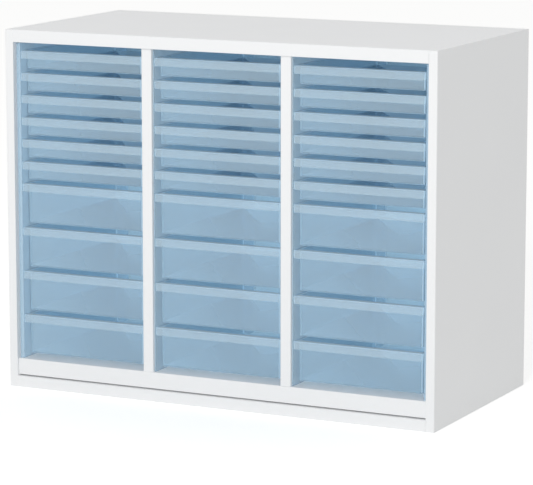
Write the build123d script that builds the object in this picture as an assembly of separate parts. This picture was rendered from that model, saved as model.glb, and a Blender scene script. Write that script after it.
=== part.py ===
from build123d import *
import math
import os

# Tray cabinet: a folded sheet steel carcass with two partitions, and thirty
# moulded pull-out trays that run on ledges in three columns.
# Origin: centre of the base on the floor. The front faces -Y and +Z is up.

# Overall size
CABINET_W = 900.0
CABINET_D = 450.0
CABINET_H = 700.0

# Sheet steel
SHEET = 0.8
FOLD_R = 2.0
STILE_R = 1.2

# Front of the carcass
STILE_W = 17.5
STILE_RETURN = 12.5
FASCIA_H = 24.0
SHELF_TOP = 56.0
RAIL_H = 22.0
RAIL_FLANGE = 18.0
GROOVE_H = 2.5
INNER_RECESS = 6.0
FLOOR_FLANGE = 15.0

# Rear of the carcass
REAR_FASCIA_H = 20.0
REAR_RAIL_H = 50.0
REAR_FLANGE = 24.0
BACK_LAP = 20.0

# Partitions
PARTITION_T = 21.5
PARTITION_HEM = 7.0

# Columns and rows of trays
COLUMNS = 3
SHALLOW_ROWS = 6
DEEP_ROWS = 4
DEEP_UNITS = 2
ROW_GAP = 8.0
TOP_GAP = 17.0
BOTTOM_GAP = 9.0
SIDE_GAP = 3.0
STILE_TO_TRAY = 9.75

# Trays
TRAY_RECESS = 11.0
TRAY_REAR_GAP = 73.0
TRAY_WALL = 2.0
RIM_T = 2.0
RIM_SIDE = 5.75
RIM_CORNER = 3.0
LIP_OVERHANG = 13.0
LIP_DROP = 15.5
LIP_NOSE_R = 2.0
LIP_CORNER = 2.0
DRAFT = 0.5
TRAY_CORNER_R = 4.0
CAVITY_CORNER = 2.0
TRAY_FOOT = 1.5

# Guides for the trays
RIM_TO_GUIDE = 1.2
LEDGE_ROOT_T = 3.0
LEDGE_TIP_T = 2.0
LEDGE_TO_TRAY = 1.0
STOP_T = 3.0
STOP_CLEAR = 0.5
GUIDE_REAR_GAP = 15.0
LEAD_IN = 12.0
LEAD_DROP = 1.2
SEAT_CLEAR = 0.3
GUIDE_TOP_CLEAR = 2.0
COVER_LAP = 5.0

# Uprights behind the side guides
UPRIGHT_W = 30.0
UPRIGHT_FOOT = 10.0
UPRIGHT_INSET = 40.0

# Hooks that hang the guides in slots
HOOK_W = 12.0
HOOK_H = 8.0
HOOK_T = 2.0
HOOK_DROP = 3.0
HOOK_CLEAR = 0.2
HOOK_SINK = 20.0

# Left and right, as seen from the front
SIDES = (-1, 1)
SIDE_NAMES = ("left", "right")

# Sizes worked out from those above
FRONT = -CABINET_D / 2
REAR = CABINET_D / 2
SKIN = CABINET_W / 2 - SHEET
STILE_EDGE = CABINET_W / 2 - STILE_W
REAR_EDGE = CABINET_W / 2 - REAR_FLANGE
RETURN_END = FRONT + STILE_RETURN
INNER_FRONT = FRONT + INNER_RECESS
TOP_UNDERSIDE = CABINET_H - SHEET
OPENING_TOP = CABINET_H - FASCIA_H
FLANGE_INSIDE = REAR - SHEET
BACK_INSIDE = FLANGE_INSIDE - SHEET
TRAY_W = (
    CABINET_W - 2 * (STILE_W + STILE_TO_TRAY)
    - (COLUMNS - 1) * (PARTITION_T + 2 * SIDE_GAP)
) / COLUMNS
COLUMN_PITCH = TRAY_W + 2 * SIDE_GAP + PARTITION_T
ROW_UNITS = SHALLOW_ROWS + DEEP_UNITS * DEEP_ROWS
ROW_UNIT = (OPENING_TOP - SHELF_TOP - TOP_GAP - BOTTOM_GAP + ROW_GAP) / ROW_UNITS
SHALLOW_H = ROW_UNIT - ROW_GAP
DEEP_H = DEEP_UNITS * ROW_UNIT - ROW_GAP
TRAY_FRONT = FRONT + TRAY_RECESS
TRAY_REAR = REAR - TRAY_REAR_GAP
BODY_W = TRAY_W - 2 * RIM_SIDE
BODY_FRONT = TRAY_FRONT + LIP_OVERHANG
BODY_REAR = TRAY_REAR - RIM_SIDE
LEDGE_FRONT = TRAY_FRONT + TRAY_WALL + SEAT_CLEAR
STOP_FRONT = TRAY_REAR + STOP_CLEAR
LEDGE_BACK = STOP_FRONT + STOP_T
LEDGE_TIP = BODY_W / 2 + LEDGE_TO_TRAY
GUIDE_REAR = REAR - GUIDE_REAR_GAP
GUIDE_FACE = TRAY_W / 2 + RIM_TO_GUIDE
GUIDE_T = SIDE_GAP - RIM_TO_GUIDE
GUIDE_BACK = GUIDE_FACE + GUIDE_T
UPRIGHT_YS = (RETURN_END + UPRIGHT_INSET, GUIDE_REAR - UPRIGHT_INSET)


def folded(points, plane, width, radii=0.0):
    """A sheet folded along an outer outline, as wide as given.

    The sheet's thickness lies to the left of the outline as it is walked.
    Each inner point has a radius of its own, and 0 is a crisp fold."""
    outline = FilletPolyline(*points, radius=radii)
    offset = outline.wire().offset_2d(SHEET, kind=Kind.INTERSECTION, side=Side.LEFT)
    return extrude(plane * make_face(offset), width)


def block(x, y, z):
    """A box given by its two ends along each axis."""
    size = (x[1] - x[0], y[1] - y[0], z[1] - z[0])
    return Pos((x[0] + x[1]) / 2, (y[0] + y[1]) / 2, (z[0] + z[1]) / 2) * Box(*size)


def side_panel(side):
    """Skin, front stile with its return, rear flange and floor flange."""
    outer = CABINET_W / 2
    plan = [
        (STILE_EDGE, RETURN_END),
        (STILE_EDGE, FRONT),
        (outer, FRONT),
        (outer, REAR),
        (REAR_EDGE, REAR),
    ]
    panel = folded(plan, Plane.XY, CABINET_H, (STILE_R, FOLD_R, 0))
    panel += block((SKIN - FLOOR_FLANGE, SKIN), (RETURN_END, FLANGE_INSIDE), (0, SHEET))
    panel -= block(
        (STILE_EDGE, SKIN - FOLD_R), (FRONT + SHEET, RETURN_END), (TOP_UNDERSIDE, CABINET_H)
    )
    return on_side(panel, side)


def on_side(shape, side):
    """A shape made for the right side, mirrored when it is for the left."""
    return shape if side > 0 else mirror(shape, about=Plane.YZ)


def across(half_width):
    """The plane whose outline is drawn in Y and Z and runs across X."""
    return Plane(origin=(-half_width, 0, 0), x_dir=(0, 1, 0), z_dir=(1, 0, 0))


def wide_sheet(top, front, rear):
    """Flat sheet that reaches both skins, its front corners clear of the folds."""
    sheet = block((-SKIN, SKIN), (front, rear), (top - SHEET, top))
    return chamfer(sheet.edges().filter_by(Axis.Z).group_by(Axis.Y)[0], FOLD_R)


def top_panel():
    """Top sheet with the front fascia and its return, and the rear flange."""
    section = [
        (REAR, CABINET_H - REAR_FASCIA_H),
        (REAR, CABINET_H),
        (FRONT, CABINET_H),
        (FRONT, OPENING_TOP),
        (RETURN_END, OPENING_TOP),
    ]
    panel = folded(section, across(STILE_EDGE), 2 * STILE_EDGE, (0, FOLD_R, STILE_R))
    panel += wide_sheet(CABINET_H, FRONT + SHEET, FLANGE_INSIDE)
    rear_notch = block((REAR_EDGE, STILE_EDGE), (FLANGE_INSIDE, REAR), (0, CABINET_H))
    for side in SIDES:
        panel -= on_side(rear_notch, side)
    return panel


def bottom_shelf():
    """Shelf under the trays: front rail with its return, and a rear flange."""
    section = [
        (BACK_INSIDE, SHELF_TOP - REAR_FASCIA_H),
        (BACK_INSIDE, SHELF_TOP),
        (INNER_FRONT, SHELF_TOP),
        (INNER_FRONT, RAIL_H + GROOVE_H),
        (RETURN_END, RAIL_H + GROOVE_H),
    ]
    middle = folded(section, across(STILE_EDGE), 2 * STILE_EDGE, (0, FOLD_R, 0))
    return middle + wide_sheet(SHELF_TOP, RETURN_END, BACK_INSIDE)


def base_front_rail():
    """Channel along the floor between the stiles, open to the rear."""
    section = [
        (FRONT + RAIL_FLANGE, RAIL_H),
        (FRONT, RAIL_H),
        (FRONT, 0),
        (FRONT + RAIL_FLANGE, 0),
    ]
    return folded(section, across(STILE_EDGE), 2 * STILE_EDGE)


def base_rear_rail():
    """Angle along the floor between the rear flanges."""
    section = [
        (REAR - RAIL_FLANGE, 0),
        (REAR, 0),
        (REAR, REAR_RAIL_H),
    ]
    return folded(section, across(REAR_EDGE), 2 * REAR_EDGE)


def back_panel():
    """Flat sheet inside the rear flanges, lapped over the rear rail."""
    height = (REAR_RAIL_H - BACK_LAP, TOP_UNDERSIDE)
    return block((-SKIN, SKIN), (BACK_INSIDE, FLANGE_INSIDE), height)


def hook_places():
    """Y and Z of the hooks: at both uprights, below the first and last rim."""
    last_row = SHALLOW_ROWS + DEEP_ROWS - 1
    heights = (rim_top(0) - HOOK_SINK, rim_top(last_row) - HOOK_SINK)
    return [(y, z) for y in UPRIGHT_YS for z in heights]


def slotted(shape, x):
    """A sheet with a slot for each hook, tall enough to lift the hook out."""
    for y, z in hook_places():
        half = HOOK_W / 2 + HOOK_CLEAR
        top = z + HOOK_H + HOOK_DROP + HOOK_CLEAR
        shape -= block(x, (y - half, y + half), (z - HOOK_CLEAR, top))
    return shape


def hook(y, z):
    """A hook on the back of a right guide: through a sheet and down behind it."""
    near = GUIDE_BACK + SHEET + HOOK_CLEAR
    far = near + HOOK_T
    neck = block((GUIDE_BACK, far), (y - HOOK_W / 2, y + HOOK_W / 2), (z, z + HOOK_H))
    tail = block((near, far), (y - HOOK_W / 2, y + HOOK_W / 2), (z - HOOK_DROP, z))
    return neck + tail


def partition(index):
    """Hollow upright folded from one sheet, notched behind the fascia."""
    centre = (index - (COLUMNS - 2) / 2) * COLUMN_PITCH
    half = PARTITION_T / 2
    plan = [
        (-half + PARTITION_HEM, BACK_INSIDE),
        (-half, BACK_INSIDE),
        (-half, INNER_FRONT),
        (half, INNER_FRONT),
        (half, BACK_INSIDE),
        (half - PARTITION_HEM, BACK_INSIDE),
    ]
    height = TOP_UNDERSIDE - SHELF_TOP
    radii = (0, FOLD_R, FOLD_R, 0)
    body = Pos(centre, 0, SHELF_TOP) * folded(plan, Plane.XY, height, radii)
    faces = (centre - half, centre + half)
    body -= block(faces, (INNER_FRONT, RETURN_END), (OPENING_TOP, TOP_UNDERSIDE))
    return slotted(body, faces)


def rim_top(row):
    """Height of the rim of a tray, rows counted from the top."""
    top = OPENING_TOP - TOP_GAP
    shallow_above = min(row, SHALLOW_ROWS)
    deep_above = row - shallow_above
    return top - (shallow_above + DEEP_UNITS * deep_above) * ROW_UNIT


def column_x(column):
    return (column - (COLUMNS - 1) / 2) * COLUMN_PITCH


def drafted_section(width, depth, foot):
    """Trapezoid that hangs from the rim's level, with bevels at its foot."""
    top = width / 2
    low = top - depth * math.tan(math.radians(DRAFT))
    outline = Polyline((-top, 0), (-low, -depth), (low, -depth), (top, 0), close=True)
    section = make_face(outline)
    if foot:
        section = chamfer(section.vertices().group_by(Axis.Y)[0], foot)
    return section


def drafted_block(margin, depth, foot=0.0):
    """The tray's body smaller all round by a margin: two drafted prisms crossed."""
    width = BODY_W - 2 * margin
    length = BODY_REAR - BODY_FRONT - 2 * margin
    from_front = Plane.XZ * drafted_section(width, depth, foot)
    from_side = across(0) * drafted_section(length, depth, foot)
    block_shape = extrude(from_front, length, both=True) & extrude(from_side, width, both=True)
    return Pos(0, (BODY_FRONT + BODY_REAR) / 2, 0) * block_shape


def upright_edges(shape):
    """The four edges of a drafted block that run from its rim to its floor."""
    return shape.edges().filter_by(lambda edge: edge.bounding_box().size.Z > RIM_T)


def tray(height):
    """Open tray with drafted walls, a rim all round and a down-turned front lip.

    The rim's top is at Z = 0, and Y is the cabinet's own."""
    rounded = drafted_block(0, height)
    rounded = fillet(upright_edges(rounded), TRAY_CORNER_R)
    shell = rounded & drafted_block(0, height, TRAY_FOOT)
    cavity = drafted_block(TRAY_WALL, height - TRAY_WALL)
    cavity = chamfer(upright_edges(cavity), CAVITY_CORNER)
    rim = block((-TRAY_W / 2, TRAY_W / 2), (BODY_FRONT, TRAY_REAR), (-RIM_T, 0))
    rim = chamfer(rim.edges().filter_by(Axis.Z).group_by(Axis.Y)[-1], RIM_CORNER)
    return shell + rim + front_lip() - cavity


def front_lip():
    """Finger lip: the rim carried forward over a rounded nose and turned down."""
    inside = TRAY_FRONT + TRAY_WALL
    outline = Polyline(
        (BODY_FRONT, 0),
        (TRAY_FRONT, 0),
        (TRAY_FRONT, -LIP_DROP),
        (inside, -LIP_DROP),
        (inside, -RIM_T),
        (BODY_FRONT, -RIM_T),
        close=True,
    )
    section = make_face(outline)
    nose = section.vertices().group_by(Axis.X)[0].sort_by(Axis.Y)[-1]
    section = fillet(nose, LIP_NOSE_R)
    lip = extrude(across(TRAY_W / 2) * section, TRAY_W)
    low_corners = lip.edges().filter_by(Axis.Y).group_by(Axis.Z)[0]
    return chamfer(low_corners, LIP_CORNER)


def ledge():
    """Tapered ledge under a tray's right rim, with a lead-in at its front.

    The rim's top is at Z = 0, as on the tray, and X is from the tray's middle."""
    top = -RIM_T - SEAT_CLEAR
    section = Polyline(
        (GUIDE_FACE, top),
        (GUIDE_FACE, top - LEDGE_ROOT_T),
        (LEDGE_TIP, top - LEDGE_TIP_T),
        (LEDGE_TIP, top),
        close=True,
    )
    plane = Plane(origin=(0, LEDGE_BACK, 0), x_dir=(1, 0, 0), z_dir=(0, -1, 0))
    shape = extrude(plane * make_face(section), LEDGE_BACK - LEDGE_FRONT)
    ramp = Polyline(
        (LEDGE_FRONT, top),
        (LEDGE_FRONT + LEAD_IN, top),
        (LEDGE_FRONT, top - LEAD_DROP),
        close=True,
    )
    return shape - extrude(across(GUIDE_FACE) * make_face(ramp), 2 * GUIDE_FACE)


def guide(column, side):
    """Moulded plate with a ledge for each tray of a column, and a stop rib.

    The rib stands behind the rims and keeps the trays from going in too far.
    Beside a stile the plate also has a front cover that closes the gap to the
    stile."""
    depth = (RETURN_END, GUIDE_REAR)
    height = (SHELF_TOP, OPENING_TOP - GUIDE_TOP_CLEAR)
    shape = block((GUIDE_FACE, GUIDE_BACK), depth, height)
    if abs(column_x(column) + side * TRAY_W) > STILE_EDGE:
        cover = TRAY_W / 2 + STILE_TO_TRAY + COVER_LAP
        shape += block((GUIDE_FACE, cover), (RETURN_END, RETURN_END + GUIDE_T), height)
    for row in range(SHALLOW_ROWS + DEEP_ROWS):
        shape += Pos(0, 0, rim_top(row)) * ledge()
    shape += block((LEDGE_TIP, GUIDE_FACE), (STOP_FRONT, LEDGE_BACK), height)
    for y, z in hook_places():
        shape += hook(y, z)
    return Pos(column_x(column), 0, 0) * on_side(shape, side)


def upright(side, y):
    """Hat channel on a skin, which carries the outermost guide."""
    web = column_x(COLUMNS - 1) + GUIDE_BACK
    foot = SKIN - SHEET
    half = UPRIGHT_W / 2
    plan = [
        (foot, y + half + UPRIGHT_FOOT),
        (foot, y + half),
        (web, y + half),
        (web, y - half),
        (foot, y - half),
        (foot, y - half - UPRIGHT_FOOT),
    ]
    channel = Pos(0, 0, SHELF_TOP) * folded(plan, Plane.XY, TOP_UNDERSIDE - SHELF_TOP)
    return on_side(slotted(channel, (web, web + SHEET)), side)


def carcass():
    """The folded sheet steel pieces, by name."""
    pieces = {
        "top_panel": top_panel(),
        "bottom_shelf": bottom_shelf(),
        "back_panel": back_panel(),
        "base_front_rail": base_front_rail(),
        "base_rear_rail": base_rear_rail(),
    }
    for side, side_name in zip(SIDES, SIDE_NAMES):
        pieces[f"{side_name}_side_panel"] = side_panel(side)
        for y, place in zip(UPRIGHT_YS, ("front", "rear")):
            pieces[f"{side_name}_{place}_upright"] = upright(side, y)
    for index in range(COLUMNS - 1):
        pieces[f"partition_{index + 1}"] = partition(index)
    return pieces


def guides():
    """The moulded guides, two to a column, by name."""
    pieces = {}
    for column in range(COLUMNS):
        for side, side_name in zip(SIDES, SIDE_NAMES):
            pieces[f"column_{column + 1}_{side_name}_guide"] = guide(column, side)
    return pieces


def trays():
    """The trays of all columns, by name, numbered from the top."""
    shallow = tray(SHALLOW_H)
    deep = tray(DEEP_H)
    pieces = {}
    for column in range(COLUMNS):
        for row in range(SHALLOW_ROWS + DEEP_ROWS):
            kind, shape = ("shallow", shallow) if row < SHALLOW_ROWS else ("deep", deep)
            place = Pos(column_x(column), 0, rim_top(row))
            pieces[f"column_{column + 1}_{kind}_tray_{row + 1:02d}"] = place * shape
    return pieces


def main():
    os.makedirs("parts", exist_ok=True)
    pieces = carcass() | guides() | trays()
    for name, shape in pieces.items():
        export_step(shape, f"parts/{name}.step")


if __name__ == "__main__":
    main()
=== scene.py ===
import math

import bmesh
import bpy
import numpy as np
from bpy.props import FloatProperty, FloatVectorProperty, PointerProperty
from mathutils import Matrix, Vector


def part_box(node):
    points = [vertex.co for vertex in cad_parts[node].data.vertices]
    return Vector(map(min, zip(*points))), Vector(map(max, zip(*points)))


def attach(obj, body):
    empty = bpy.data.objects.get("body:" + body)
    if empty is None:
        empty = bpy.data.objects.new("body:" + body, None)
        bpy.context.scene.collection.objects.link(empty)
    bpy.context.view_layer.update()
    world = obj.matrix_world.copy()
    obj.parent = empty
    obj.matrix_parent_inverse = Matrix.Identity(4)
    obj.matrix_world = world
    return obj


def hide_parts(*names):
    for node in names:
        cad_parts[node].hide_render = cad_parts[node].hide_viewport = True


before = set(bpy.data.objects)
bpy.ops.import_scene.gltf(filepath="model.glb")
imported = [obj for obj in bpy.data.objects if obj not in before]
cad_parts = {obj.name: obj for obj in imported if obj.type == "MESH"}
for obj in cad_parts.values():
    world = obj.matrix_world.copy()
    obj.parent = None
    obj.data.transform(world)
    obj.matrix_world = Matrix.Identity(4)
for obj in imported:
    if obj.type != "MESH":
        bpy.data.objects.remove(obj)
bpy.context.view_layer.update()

bl_info = {
    "name": "Tray cabinet",
    "version": (1, 0, 0),
    "blender": (4, 5, 0),
    "location": "View3D > Sidebar > Tray cabinet",
    "description": "Dresses a steel cabinet of pull-out trays around its packed frame",
    "category": "Object",
}

MM = 0.001

# Width of the photograph's frame and the focal length fitted to it, in its pixels
PHOTO_WIDTH_PX = 533
FOCAL_LENGTH_PX = 2905.79
SENSOR_WIDTH_MM = 36.0

# Share of a plastic face's hiding part that light on its way elsewhere meets
LIGHT_LOSS = 0.08

# Refractive index of polystyrene
PLASTIC_IOR = 1.59

# Power of the slant: the higher, the later a face takes on its slanting tint and share
SLANT_POWER = 4.0

# Share of the plastic that hides what is behind it, on a rounded edge, where it makes a painted edge
# highlight, and on the lip's outside, which counts twice on the lip's top as a painted highlight
EDGE_HIGHLIGHT_SHARE = 0.8
LIP_MATT_AND_HIGHLIGHT_SHARE = 0.34

# Share of Fresnel's gloss that the satin faces keep
GLOSS_SHARE = 0.5

# Attributes of the moulded trays: how far on a rounded edge, which carries a painted edge highlight,
# and how matt on the lip's outside, whose top is marked for a painted highlight
EDGE_MARK = "rounded_edge"
LIP_MARK = "satin_lip_and_top_highlight"

# Places of the colour sockets on a Mix node, which all share their names
COLOUR_A, COLOUR_B, COLOUR_RESULT = 6, 7, 2

# Faces of plastic that one ray may pass, and bounces of light in the cabinet
CLEAR_FACES = 64
CABINET_BOUNCES = 12

# Segments of the rounded parts of a tray
CORNER_STEPS = 6
FOOT_STEPS = 5
EDGE_STEPS = 4

# Angle between faces from which an edge is shaded sharp, in degrees
SHARP_EDGE = 35

# Points closer together than this are merged
MERGE_DISTANCE = 0.001 * MM

# Half the width of the studio floor, and the size and place of its lamp and what it lights
FLOOR_REACH = 12.0
LAMP_WIDTH = 3.0
LAMP_HEIGHT = 2.4
LAMP_PLACE = (0.8, -6.3, 2.8)
LAMP_TARGET = (0, 0, 0.35)


def hex_colour(code):
    """An sRGB hex colour as linear red, green and blue."""
    srgb = np.array([int(code[i : i + 2], 16) for i in (1, 3, 5)]) / 255
    linear = np.where(srgb <= 0.04045, srgb / 12.92, ((srgb + 0.055) / 1.055) ** 2.4)
    return tuple(float(value) for value in linear)


class TraySizes(bpy.types.PropertyGroup):
    """Sizes of the moulded trays, beside their outer box, which the frame gives."""

    wall: FloatProperty(
        name="Wall", description="Thickness of walls, floor and rim", default=2 * MM, unit="LENGTH"
    )
    rim_side: FloatProperty(
        name="Side rim", description="How far the rim stands out at the sides and rear",
        default=5.75 * MM, unit="LENGTH",
    )
    lip_overhang: FloatProperty(
        name="Lip overhang", description="How far the lip stands out in front of the front wall",
        default=13 * MM, unit="LENGTH",
    )
    lip_drop: FloatProperty(
        name="Lip drop", description="Height of the down-turned front lip",
        default=15.5 * MM, unit="LENGTH",
    )
    nose: FloatProperty(
        name="Nose radius", description="Rounding of the lip's top front edge",
        default=2 * MM, unit="LENGTH",
    )
    lip_corner: FloatProperty(
        name="Lip corner radius", description="Rounding of the lip's ends, from above and in front",
        default=2.5 * MM, unit="LENGTH",
    )
    corner: FloatProperty(
        name="Corner radius", description="Rounding of the upright corners",
        default=4 * MM, unit="LENGTH",
    )
    rim_corner: FloatProperty(
        name="Rim corner radius", description="Rounding of the rim's rear corners",
        default=4 * MM, unit="LENGTH",
    )
    foot: FloatProperty(
        name="Foot radius", description="Rounding between walls and floor",
        default=1.5 * MM, unit="LENGTH",
    )
    inner_edge: FloatProperty(
        name="Inner edge radius", description="Rounding of the rim's inner edge",
        default=0.8 * MM, unit="LENGTH",
    )
    draft: FloatProperty(
        name="Draft", description="Lean of the walls that lets the tray leave its mould",
        default=math.radians(0.5), subtype="ANGLE",
    )


class Finishes(bpy.types.PropertyGroup):
    """Colours of the finishes, as linear values."""

    powder: FloatVectorProperty(
        name="Powder coat", description="White of the coated sheet steel",
        default=hex_colour("#eff0f1"), subtype="COLOR",
    )
    plastic: FloatVectorProperty(
        name="Tray plastic", description="Surface colour of the trays",
        default=hex_colour("#d0e5f0"), subtype="COLOR",
    )
    tint: FloatVectorProperty(
        name="Tint", description="Colour of what is seen through a plastic face, looked at square on",
        default=hex_colour("#e9f6fd"), subtype="COLOR",
    )
    slant_tint: FloatVectorProperty(
        name="Slant tint", description="The same for a face that is looked at along its length",
        default=hex_colour("#4a7390"), subtype="COLOR",
    )
    glow_tint: FloatVectorProperty(
        name="Glow tint", description="Colour of the light that a plastic face passes on inside",
        default=hex_colour("#fcfeff"), subtype="COLOR",
    )
    # A bluer colour painted on rounded edges as a highlight, in place of light that leaves the
    # plastic there
    painted_edge_highlight: FloatVectorProperty(
        name="Painted edge highlight", description="Surface colour at the edges, where light leaves the plastic",
        default=hex_colour("#c3dff2"), subtype="COLOR",
    )
    # Also laid on more thickly on the lip's top, as a painted highlight; on the rest of the lip's
    # outside it is the lip's own matt colour
    satin: FloatVectorProperty(
        name="Satin lip", description="Surface colour of the lips' matt outside",
        default=hex_colour("#cad3d6"), subtype="COLOR",
    )
    guide: FloatVectorProperty(
        name="Guide plastic", description="Surface colour of the guides",
        default=hex_colour("#c6dcec"), subtype="COLOR",
    )


class StageSetup(bpy.types.PropertyGroup):
    """Where the camera stands and how bright the light is."""

    camera_place: FloatVectorProperty(
        name="Camera", description="Where the camera stands",
        default=(2.45384, -4.99789, 1.24576), subtype="TRANSLATION", unit="LENGTH",
    )
    azimuth: FloatProperty(
        name="Azimuth", description="Turn of the view about the upright axis",
        default=math.radians(26.16), subtype="ANGLE",
    )
    elevation: FloatProperty(
        name="Elevation", description="How far the view looks down",
        default=math.radians(9.80), subtype="ANGLE",
    )
    lamp_power: FloatProperty(
        name="Lamp power", description="Power of the large soft lamp at the front",
        default=148, unit="POWER",
    )
    sky: FloatProperty(
        name="Sky", description="Strength of the even light from all round", default=0.66
    )
    floor_lift: FloatProperty(
        name="Floor lift", description="Plain white added to the floor as the camera sees it",
        default=0.35,
    )


def new_material(name):
    """A material with an empty node tree."""
    material = bpy.data.materials.new(name)
    material.use_nodes = True
    material.node_tree.nodes.clear()
    return material


def add_node(owner, kind, inputs=None, links=None, **settings):
    """Adds a node to a material or world, with its settings, input values and links."""
    node = owner.node_tree.nodes.new(kind)
    for name, value in settings.items():
        setattr(node, name, value)
    for name, value in (inputs or {}).items():
        node.inputs[name].default_value = value
    for name, socket in (links or {}).items():
        owner.node_tree.links.new(socket, node.inputs[name])
    return node


def looked_at_ray(owner):
    """A socket that is 1 for the camera's, mirrored and refracted rays, and 0 for the rest."""
    ray = add_node(owner, "ShaderNodeLightPath").outputs
    seen = ray["Is Camera Ray"]
    for kind in ("Is Glossy Ray", "Is Transmission Ray"):
        either = add_node(
            owner, "ShaderNodeMath", operation="MAXIMUM", links={0: seen, 1: ray[kind]}
        )
        seen = either.outputs["Value"]
    return seen


def powder_coated_steel():
    """White polyester powder, sprayed and baked on sheet steel.

    The eye sees a satin white with a faint orange peel, a little smoother in
    some places than in others."""
    material = new_material("powder_coated_steel")
    place = add_node(material, "ShaderNodeTexCoord").outputs["Object"]
    # Orange peel of about 3 mm, coarser than the real 1 mm so that it shows
    peel = add_node(
        material, "ShaderNodeTexNoise",
        inputs={"Scale": 1 / (3 * MM), "Detail": 2.0, "Roughness": 0.5}, links={"Vector": place},
    )
    # Broad drifts of the film's thickness, about 120 mm across
    drift = add_node(
        material, "ShaderNodeTexNoise",
        inputs={"Scale": 1 / (120 * MM), "Detail": 2.0}, links={"Vector": place},
    )
    roughness = add_node(
        material, "ShaderNodeMapRange",
        inputs={"To Min": 0.38, "To Max": 0.5}, links={"Value": drift.outputs["Fac"]},
    )
    bump = add_node(
        material, "ShaderNodeBump",
        inputs={"Strength": 0.12, "Distance": 0.1 * MM}, links={"Height": peel.outputs["Fac"]},
    )
    surface = add_node(
        material, "ShaderNodeBsdfPrincipled",
        inputs={"Base Color": (*bpy.context.scene.cabinet_finishes.powder, 1), "IOR": 1.5},
        links={"Roughness": roughness.outputs["Result"], "Normal": bump.outputs["Normal"]},
    )
    add_node(material, "ShaderNodeOutputMaterial", links={"Surface": surface.outputs["BSDF"]})
    return material


def melt_flow(material):
    """Roughness and bump of a moulded face, as links for a shader.

    The melt flowed in drifts of about 60 mm, and the eye sees them as a slight
    unevenness in gloss and height."""
    place = add_node(material, "ShaderNodeTexCoord").outputs["Object"]
    flow = add_node(
        material, "ShaderNodeTexNoise",
        inputs={"Scale": 1 / (60 * MM), "Detail": 3.0}, links={"Vector": place},
    )
    roughness = add_node(
        material, "ShaderNodeMapRange",
        inputs={"To Min": 0.16, "To Max": 0.3}, links={"Value": flow.outputs["Fac"]},
    )
    bump = add_node(
        material, "ShaderNodeBump",
        inputs={"Strength": 0.3, "Distance": 0.3 * MM}, links={"Height": flow.outputs["Fac"]},
    )
    return {"Roughness": roughness.outputs["Result"], "Normal": bump.outputs["Normal"]}


def hiding_share(material, slant, face_on, edge_on, marks):
    """How much of a wall hides what is behind it: the largest of its shares.

    The first goes from face_on to edge_on with the slant, and each other one is
    a mark times the most that it brings."""
    share = add_node(
        material, "ShaderNodeMapRange", inputs={"To Min": face_on, "To Max": edge_on},
        links={"Value": slant},
    ).outputs["Result"]
    for mark, most in marks:
        by_mark = add_node(
            material, "ShaderNodeMath", operation="MULTIPLY", inputs={1: most}, links={0: mark}
        )
        share = add_node(
            material, "ShaderNodeMath", operation="MAXIMUM",
            links={0: share, 1: by_mark.outputs["Value"]},
        ).outputs["Value"]
    return share


def hiding_plastic(material, colour, edge_highlight_mask, lip_matt_and_top_highlight, face, painted_glow):
    """The part of a wall that hides what is behind it, and gives off a painted glow.

    Its colour is the plastic's, greyer on the lip's outside, and bluer on
    rounded edges, where the larger hiding share and this colour make a painted edge highlight. On the
    lip's top the greyer colour, at a larger share, is a painted highlight. The glow is this colour
    given off as emission, painted light that lightens the plastic in the shade."""
    finishes = bpy.context.scene.cabinet_finishes
    matt = add_node(
        material, "ShaderNodeMix", data_type="RGBA",
        inputs={COLOUR_A: (*colour, 1), COLOUR_B: (*finishes.satin, 1)}, links={0: lip_matt_and_top_highlight},
    )
    hue = add_node(
        material, "ShaderNodeMix", data_type="RGBA", inputs={COLOUR_B: (*finishes.painted_edge_highlight, 1)},
        links={0: edge_highlight_mask, COLOUR_A: matt.outputs[COLOUR_RESULT]},
    ).outputs[COLOUR_RESULT]
    # The hiding part gives off its colour as a painted glow, which lightens the plastic in the shade
    return add_node(
        material, "ShaderNodeBsdfPrincipled",
        inputs={"IOR": PLASTIC_IOR, "Emission Strength": painted_glow},
        links={"Base Color": hue, "Emission Color": hue, **face},
    ).outputs["BSDF"]


def clear_plastic(material, slant, looked_at, face):
    """The part of a wall that shows what is behind it, under a satin gloss.

    The tint deepens with the slant, and the gloss follows Fresnel's law. Light
    on its way to other surfaces meets the glow tint and no gloss."""
    finishes = bpy.context.scene.cabinet_finishes
    square_on, slanting, onward = (
        add_node(material, "ShaderNodeBsdfTransparent", inputs={"Color": (*tint, 1)}).outputs["BSDF"]
        for tint in (finishes.tint, finishes.slant_tint, finishes.glow_tint)
    )
    looked_through = add_node(
        material, "ShaderNodeMixShader", links={0: slant, 1: square_on, 2: slanting}
    )
    passed = add_node(
        material, "ShaderNodeMixShader",
        links={0: looked_at, 1: onward, 2: looked_through.outputs["Shader"]},
    )
    fresnel = add_node(
        material, "ShaderNodeFresnel", inputs={"IOR": PLASTIC_IOR}, links={"Normal": face["Normal"]}
    )
    satin = add_node(
        material, "ShaderNodeMath", operation="MULTIPLY",
        inputs={1: GLOSS_SHARE}, links={0: fresnel.outputs["Fac"]},
    )
    mirrored = add_node(
        material, "ShaderNodeMath", operation="MULTIPLY",
        links={0: satin.outputs["Value"], 1: looked_at},
    )
    gloss = add_node(
        material, "ShaderNodeBsdfAnisotropic", inputs={"Color": (1, 1, 1, 1)}, links=face
    )
    return add_node(
        material, "ShaderNodeMixShader",
        links={
            0: mirrored.outputs["Value"],
            1: passed.outputs["Shader"],
            2: gloss.outputs["BSDF"],
        },
    ).outputs["Shader"]


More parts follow.
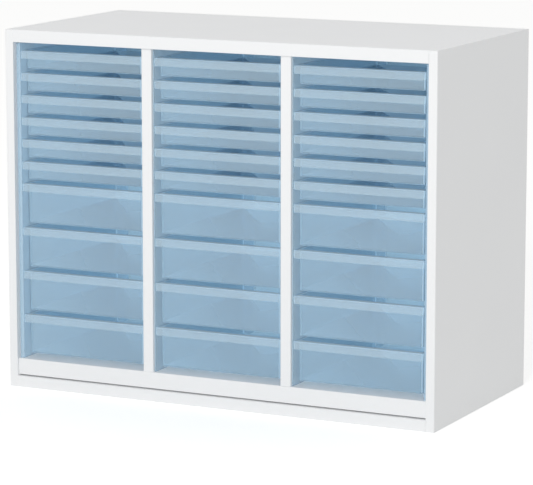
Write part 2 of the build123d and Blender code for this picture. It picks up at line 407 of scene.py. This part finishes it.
def moulded_plastic(name, colour, face_on, edge_on, painted_glow):
    """Transparent blue polystyrene, injection moulded with a satin surface.

    The eye sees a light blue wall that lets what is behind it through, in a
    deeper blue where the wall is seen along its length. The share of the wall
    that hides what is behind goes from face_on to edge_on as the view slants.
    Rounded edges hide more and take a bluer colour, which paints a lighter
    highlight along them, and the last argument is the strength of a painted glow,
    given off as emission by the hiding share everywhere, which lightens the plastic in the shade. The
    outside of a tray's lip hides more too, and its top more still, as a painted highlight.
    Light on its way to other surfaces loses less, as thin clear walls scatter
    it forwards, so the cabinet is as light inside as the real one."""
    material = new_material(name)
    face = melt_flow(material)
    edge_highlight_mask, lip_matt_and_top_highlight = (
        add_node(material, "ShaderNodeAttribute", attribute_name=mark).outputs["Fac"]
        for mark in (EDGE_MARK, LIP_MARK)
    )
    facing = add_node(material, "ShaderNodeLayerWeight", inputs={"Blend": 0.5})
    slant = add_node(
        material, "ShaderNodeMath", operation="POWER",
        inputs={1: SLANT_POWER}, links={0: facing.outputs["Facing"]},
    ).outputs["Value"]
    looked_at = looked_at_ray(material)
    kept = add_node(
        material, "ShaderNodeMath", operation="MAXIMUM",
        inputs={1: LIGHT_LOSS}, links={0: looked_at},
    )
    marks = ((edge_highlight_mask, EDGE_HIGHLIGHT_SHARE), (lip_matt_and_top_highlight, LIP_MATT_AND_HIGHLIGHT_SHARE))
    hiding = add_node(
        material, "ShaderNodeMath", operation="MULTIPLY",
        links={
            0: hiding_share(material, slant, face_on, edge_on, marks),
            1: kept.outputs["Value"],
        },
    )
    wall = add_node(
        material, "ShaderNodeMixShader",
        links={
            0: hiding.outputs["Value"],
            1: clear_plastic(material, slant, looked_at, face),
            2: hiding_plastic(material, colour, edge_highlight_mask, lip_matt_and_top_highlight, face, painted_glow),
        },
    )
    add_node(material, "ShaderNodeOutputMaterial", links={"Surface": wall.outputs["Shader"]})
    return material


def studio_floor():
    """Pale matt studio paper, which the camera sees near white with the shadow kept."""
    material = new_material("studio_paper")
    matt = add_node(
        material, "ShaderNodeBsdfDiffuse", inputs={"Color": (*hex_colour("#f6f6f5"), 1)}
    )
    lift = add_node(
        material, "ShaderNodeMath", operation="MULTIPLY",
        inputs={1: bpy.context.scene.cabinet_stage.floor_lift}, links={0: looked_at_ray(material)},
    )
    white = add_node(material, "ShaderNodeEmission", links={"Strength": lift.outputs["Value"]})
    both = add_node(
        material, "ShaderNodeAddShader", links={0: matt.outputs["BSDF"], 1: white.outputs["Emission"]}
    )
    add_node(material, "ShaderNodeOutputMaterial", links={"Surface": both.outputs["Shader"]})
    return material


def studio_air(strength):
    """Even light from all round, seen as plain white by the camera and in gloss."""
    world = bpy.data.worlds.new("studio_air")
    world.use_nodes = True
    world.node_tree.nodes.clear()
    level = add_node(
        world, "ShaderNodeMapRange", inputs={"To Min": strength, "To Max": 1.0},
        links={"Value": looked_at_ray(world)},
    )
    background = add_node(
        world, "ShaderNodeBackground", inputs={"Color": (1, 1, 1, 1)},
        links={"Strength": level.outputs["Result"]},
    )
    add_node(
        world, "ShaderNodeOutputWorld", links={"Surface": background.outputs["Background"]}
    )
    return world


def nodes_named(part):
    """The frame's nodes whose names hold a word, in order of name."""
    return sorted(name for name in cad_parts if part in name)


def dress(names, material):
    """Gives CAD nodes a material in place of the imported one."""
    for name in names:
        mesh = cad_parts[name].data
        mesh.materials.clear()
        mesh.materials.append(material)


def arc(centre, radius, start, end, steps):
    """Points of a circle's arc, both ends included: centre plus radius at each angle."""
    angles = np.radians(np.linspace(start, end, steps + 1))
    return np.stack([centre[0] + radius * np.cos(angles), centre[1] + radius * np.sin(angles)], 1)


def tray_section(sizes, height):
    """Sections of a tray's wall, as outset and height at each station.

    Outset is the distance outwards from the body's outline at the rim. Stations
    run from the outer floor up the outer wall, round the rim or lip, and down
    the inner wall to the inner floor. Two sections have the same stations: the
    front one, where the rim turns down into the lip, and that of the sides and
    rear, where it ends in a rounded edge. Then come the outsets of the front
    corners along X, where the lip ends in line with the side rims, and the radii
    of the front and rear corners, seen from above. Such a radius is the body's
    own plus the outset, without the walls' lean, and on the rim and lip their
    own, less the distance in from their edge."""
    lean = math.tan(sizes.draft)
    wall, half = sizes.wall, sizes.wall / 2
    low = -height * lean
    outer_foot = arc((low - sizes.foot, -height + sizes.foot), sizes.foot, -90, 0, FOOT_STEPS)
    outer_top = np.array([[-wall * lean, -wall]])
    inner_foot_r = sizes.foot - half
    inner_low = low - wall
    inner_foot = arc(
        (inner_low - inner_foot_r, -height + wall + inner_foot_r), inner_foot_r, 0, -90, FOOT_STEPS
    )
    edge = sizes.inner_edge
    inner_top = arc((-wall + edge, -edge), edge, 90, 180, EDGE_STEPS)

    out, drop, nose = sizes.lip_overhang, sizes.lip_drop, sizes.nose
    lip = np.concatenate([
        [[out - wall, -wall]],
        arc((out - half, -drop + half), half, 180, 360, 2 * EDGE_STEPS),
        arc((out - nose, -nose), nose, 0, 90, EDGE_STEPS),
    ])
    side = sizes.rim_side
    rim = np.concatenate([
        [[side - wall, -wall]],
        arc((side - half, -half), half, -90, 0, 2 * EDGE_STEPS),
        arc((side - half, -half), half, 0, 90, EDGE_STEPS),
    ])
    before = np.concatenate([outer_foot, outer_top])
    after = np.concatenate([inner_top, inner_foot])
    front = np.concatenate([before, lip, after])
    sides = np.concatenate([before, rim, after])

    on_rim = slice(len(before), len(before) + len(lip))
    radius = sizes.corner + front[:, 0] - front[:, 1] * lean
    front_radius, rear_radius = radius.copy(), radius.copy()
    front_radius[on_rim] = sizes.lip_corner + front[on_rim, 0] - out
    rear_radius[on_rim] = sizes.rim_corner + sides[on_rim, 0] - side
    front_side_outset = front[:, 0].copy()
    front_side_outset[on_rim] += side - out
    return front, sides, front_side_outset, front_radius, rear_radius


def tray_surface(sizes, box):
    """The tray's surface as a grid of points, stations by places round the rim.

    A section is carried round a rounded rectangle. A point is a corner's centre,
    drawn in from the outline by the corner's radius, plus that radius along the
    angle of its place. The lip's low edge also rises towards its ends, by its
    corner radius times 1 less the sine of that angle, which rounds its low
    corners. Where the lip ends, at both front corners, the grid has two
    columns at one place, one with each section, and the strip between them is the
    lip's end face."""
    low, high = np.array(box[0]), np.array(box[1])
    height = high[2] - low[2]
    front, sides, front_side, front_radius, rear_radius = tray_section(sizes, height)
    middle = (low[0] + high[0]) / 2
    half = (high[0] - low[0]) / 2 - sizes.rim_side
    body_front = low[1] + sizes.lip_overhang
    body_rear = high[1] - sizes.rim_side

    def corner(x_sign, y_sign, start, x_out, section, radius, lift):
        """The stations round one corner, from its start angle on, a quarter turn to the left."""
        angles = np.radians(np.linspace(start, start + 90, CORNER_STEPS + 1))[None, :]
        x = x_sign * (half + x_out - radius)[:, None] + radius[:, None] * np.cos(angles)
        edge = body_front - section[:, 0] if y_sign < 0 else body_rear + section[:, 0]
        y = (edge - y_sign * radius)[:, None] + radius[:, None] * np.sin(angles)
        z = section[:, 1, None] + lift[:, None] * (1 - np.abs(np.sin(angles)))
        return np.stack([middle + x, y, z], axis=2)

    level = np.zeros(len(front))
    low_edge = (front[:, 1] < -sizes.nose) & (front[:, 0] > sizes.lip_overhang / 2)
    lift = np.where(low_edge, sizes.lip_corner, 0)
    front_left = corner(-1, -1, 180, front_side, front, front_radius, lift)
    front_right = corner(1, -1, 270, front_side, front, front_radius, lift)
    rear_right = corner(1, 1, 0, sides[:, 0], sides, rear_radius, level)
    rear_left = corner(-1, 1, 90, sides[:, 0], sides, rear_radius, level)
    right_start = rear_right[:, :1].copy()
    right_start[:, 0, 1] = front_right[:, -1, 1]
    left_end = rear_left[:, -1:].copy()
    left_end[:, 0, 1] = front_left[:, 0, 1]
    grid = np.concatenate(
        [front_left, front_right, right_start, rear_right, rear_left, left_end], axis=1
    )
    grid[:, :, 2] += high[2]
    return grid


def tray_marks():
    """Two marks for each point of the tray's grid.

    How far the point is on a rounded edge, from 0 to 1, where the material paints a highlight: along
    each arc of the section, and round each corner of the plan, the sine of the arc's share that
    is behind the point, times pi, and of the two the larger. And how matt the
    lip's outside is there: 1 from its low edge to its nose, and 2 on its top,
    which the light and the view both graze, where the larger share is a painted highlight."""
    swell = np.sin(np.pi * np.linspace(0, 1, CORNER_STEPS + 1))
    columns = np.concatenate([swell, swell, [0], swell, swell, [0]])
    foot = np.sin(np.pi * np.linspace(0, 1, FOOT_STEPS + 1))
    under = np.sin(np.pi * np.linspace(0, 1, 2 * EDGE_STEPS + 1))
    over = np.sin(np.pi * np.linspace(0, 1, EDGE_STEPS + 1))
    rows = np.concatenate([foot, [0], [0], under, over, over, np.zeros(FOOT_STEPS + 1)])
    # The rounded edges marked here are painted bluer and lighter as a highlight
    edges = np.maximum(rows[:, None], columns[None, :])
    face = FOOT_STEPS + 3 + EDGE_STEPS
    top = face + 2 * EDGE_STEPS + 1
    front = slice(0, 2 * CORNER_STEPS + 2)
    lip = np.zeros_like(edges)
    lip[face:top, front] = 1
    # The lip's top, marked 2, is painted lighter as a highlight
    lip[top : top + 2, front] = 2
    return {EDGE_MARK: edges, LIP_MARK: lip}


def closed_mesh(name, grid, marks):
    """A mesh from a grid that closes round its columns, with its two ends capped."""
    stations, places = grid.shape[:2]
    index = np.arange(stations * places).reshape(stations, places)
    ahead = np.roll(index, -1, axis=1)
    quads = np.stack([index[:-1], ahead[:-1], ahead[1:], index[1:]], axis=2).reshape(-1, 4)
    faces = quads.tolist() + [index[0][::-1].tolist(), index[-1].tolist()]
    mesh = bpy.data.meshes.new(name)
    mesh.from_pydata(grid.reshape(-1, 3).tolist(), [], faces)
    for mark, values in marks.items():
        mesh.attributes.new(mark, "FLOAT", "POINT").data.foreach_set("value", values.ravel())
    return mesh


def finish_mesh(mesh):
    """Merges points that coincide and shades all but the sharp edges smooth."""
    work = bmesh.new()
    work.from_mesh(mesh)
    bmesh.ops.remove_doubles(work, verts=work.verts, dist=MERGE_DISTANCE)
    bmesh.ops.dissolve_degenerate(work, edges=work.edges, dist=MERGE_DISTANCE)
    work.to_mesh(mesh)
    work.free()
    mesh.shade_smooth()
    mesh.set_sharp_from_angle(angle=math.radians(SHARP_EDGE))


def add_piece(name, mesh, material):
    """Puts a mesh into the scene as a piece at the origin."""
    mesh.materials.append(material)
    piece = bpy.data.objects.new(name, mesh)
    bpy.context.scene.collection.objects.link(piece)
    return piece


class CABINET_OT_stage(bpy.types.Operator):
    """Sets the camera, the pale floor and the soft light"""

    bl_idname = "cabinet.stage"
    bl_label = "Stage"

    def execute(self, context):
        setup = context.scene.cabinet_stage
        self.add_camera(context, setup)
        self.add_floor(context)
        self.add_light(context, setup)
        return {"FINISHED"}

    def add_camera(self, context, setup):
        """The camera of the photograph's view, level across."""
        data = bpy.data.cameras.new("photo_camera")
        data.sensor_width = SENSOR_WIDTH_MM
        data.lens = FOCAL_LENGTH_PX * SENSOR_WIDTH_MM / PHOTO_WIDTH_PX
        camera = bpy.data.objects.new("photo_camera", data)
        camera.location = setup.camera_place
        camera.rotation_euler = (math.pi / 2 - setup.elevation, 0, setup.azimuth)
        context.scene.collection.objects.link(camera)
        context.scene.camera = camera

    def add_floor(self, context):
        """A square of studio paper round the origin."""
        signs = ((-1, -1), (1, -1), (1, 1), (-1, 1))
        corners = [(x * FLOOR_REACH, y * FLOOR_REACH, 0) for x, y in signs]
        mesh = bpy.data.meshes.new("studio_floor")
        mesh.from_pydata(corners, [], [(0, 1, 2, 3)])
        floor = add_piece("studio_floor", mesh, studio_floor())

    def add_light(self, context, setup):
        """One large lamp in front, even air, and bounces enough for the clear trays."""
        data = bpy.data.lights.new("front_softbox", "AREA")
        data.shape = "RECTANGLE"
        data.size = LAMP_WIDTH
        data.size_y = LAMP_HEIGHT
        data.energy = setup.lamp_power
        lamp = bpy.data.objects.new("front_softbox", data)
        lamp.location = LAMP_PLACE
        aim = Vector(LAMP_TARGET) - lamp.location
        lamp.rotation_euler = aim.to_track_quat("-Z", "Y").to_euler()
        context.scene.collection.objects.link(lamp)
        context.scene.world = studio_air(setup.sky)
        context.scene.view_settings.view_transform = "Standard"
        context.scene.cycles.transparent_max_bounces = CLEAR_FACES
        context.scene.cycles.diffuse_bounces = CABINET_BOUNCES
        context.scene.cycles.max_bounces = 2 * CABINET_BOUNCES


class CABINET_OT_carcass(bpy.types.Operator):
    """Finishes the folded sheet steel pieces"""

    bl_idname = "cabinet.carcass"
    bl_label = "Carcass"

    def execute(self, context):
        names = [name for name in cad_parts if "tray" not in name and "guide" not in name]
        dress(names, powder_coated_steel())
        return {"FINISHED"}


class CABINET_OT_guides(bpy.types.Operator):
    """Finishes the moulded guides"""

    bl_idname = "cabinet.guides"
    bl_label = "Guides"

    def execute(self, context):
        finishes = context.scene.cabinet_finishes
        # The guides give off a painted glow, which lightens them in the shade
        plastic = moulded_plastic(
            "moulded_polystyrene_guides", finishes.guide, face_on=0.35, edge_on=0.45, painted_glow=0.16
        )
        dress(nodes_named("guide"), plastic)
        return {"FINISHED"}


class CABINET_OT_trays(bpy.types.Operator):
    """Builds each moulded tray in the place of its CAD node"""

    bl_idname = "cabinet.trays"
    bl_label = "Trays"

    def execute(self, context):
        sizes = context.scene.cabinet_tray
        finishes = context.scene.cabinet_finishes
        # The trays give off a faint painted glow, and their rounded edges and lip tops are painted
        # highlights
        plastic = moulded_plastic(
            "moulded_polystyrene_trays", finishes.plastic, face_on=0.2, edge_on=0.02, painted_glow=0.04
        )
        marks = tray_marks()
        for node in nodes_named("tray"):
            mesh = closed_mesh(f"moulded_{node}", tray_surface(sizes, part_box(node)), marks)
            finish_mesh(mesh)
            piece = add_piece(f"moulded_{node}", mesh, plastic)
            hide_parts(node)
            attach(piece, node)
        return {"FINISHED"}


class CABINET_PT_panel(bpy.types.Panel):
    """Lists the cabinet's steps and sizes"""

    bl_idname = "CABINET_PT_panel"
    bl_label = "Tray cabinet"
    bl_space_type = "VIEW_3D"
    bl_region_type = "UI"
    bl_category = "Tray cabinet"

    def draw(self, context):
        for operator in OPERATORS:
            self.layout.operator(operator.bl_idname)
        for group in (getattr(context.scene, name) for name in GROUPS):
            box = self.layout.box()
            for name in group.bl_rna.properties.keys():
                if name not in ("rna_type", "name"):
                    box.prop(group, name)


GROUPS = {"cabinet_tray": TraySizes, "cabinet_finishes": Finishes, "cabinet_stage": StageSetup}
OPERATORS = (CABINET_OT_stage, CABINET_OT_carcass, CABINET_OT_guides, CABINET_OT_trays)
CLASSES = (*GROUPS.values(), *OPERATORS, CABINET_PT_panel)


def register():
    """Makes the cabinet's classes and settings known."""
    for cls in CLASSES:
        bpy.utils.register_class(cls)
    for name, group in GROUPS.items():
        setattr(bpy.types.Scene, name, PointerProperty(type=group))


def unregister():
    """Takes them away again."""
    for name in GROUPS:
        delattr(bpy.types.Scene, name)
    for cls in reversed(CLASSES):
        bpy.utils.unregister_class(cls)


def main():
    """Dresses the cabinet."""
    register()
    bpy.ops.cabinet.stage()
    bpy.ops.cabinet.carcass()
    bpy.ops.cabinet.guides()
    bpy.ops.cabinet.trays()


if __name__ == "__main__":
    main()
